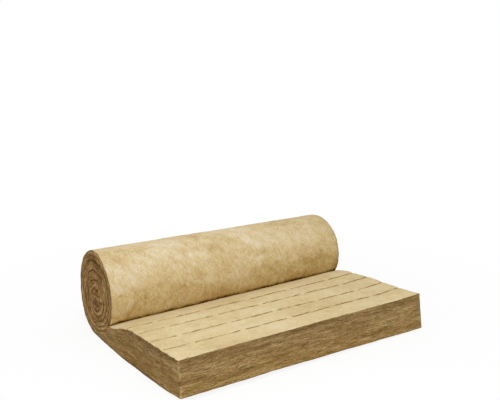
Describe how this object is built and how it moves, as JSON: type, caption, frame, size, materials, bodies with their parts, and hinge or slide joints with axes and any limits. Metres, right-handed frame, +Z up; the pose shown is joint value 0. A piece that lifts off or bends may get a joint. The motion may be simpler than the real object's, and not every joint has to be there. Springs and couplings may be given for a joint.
{
  "type": "insulation roll",
  "caption": "Glass wool insulation mat wound into a roll lying on its side, its free end unrolled flat, sprung back to full thickness and curled up a little at the cut.",
  "frame": {"origin": "on the floor, midway across the mat's width and midway between the cut end and the back of the roll", "axes": "+X along the roll's axis, +Y from the cut end towards the roll, +Z up"},
  "size_m": [1.2, 0.9049, 0.368],
  "materials": {
    "glass_wool": "matt fibrous felt, darker on the cut edges"
  },
  "bodies": {
    "root": {"wool_mat": "glass_wool"}
  },
  "joints": []
}
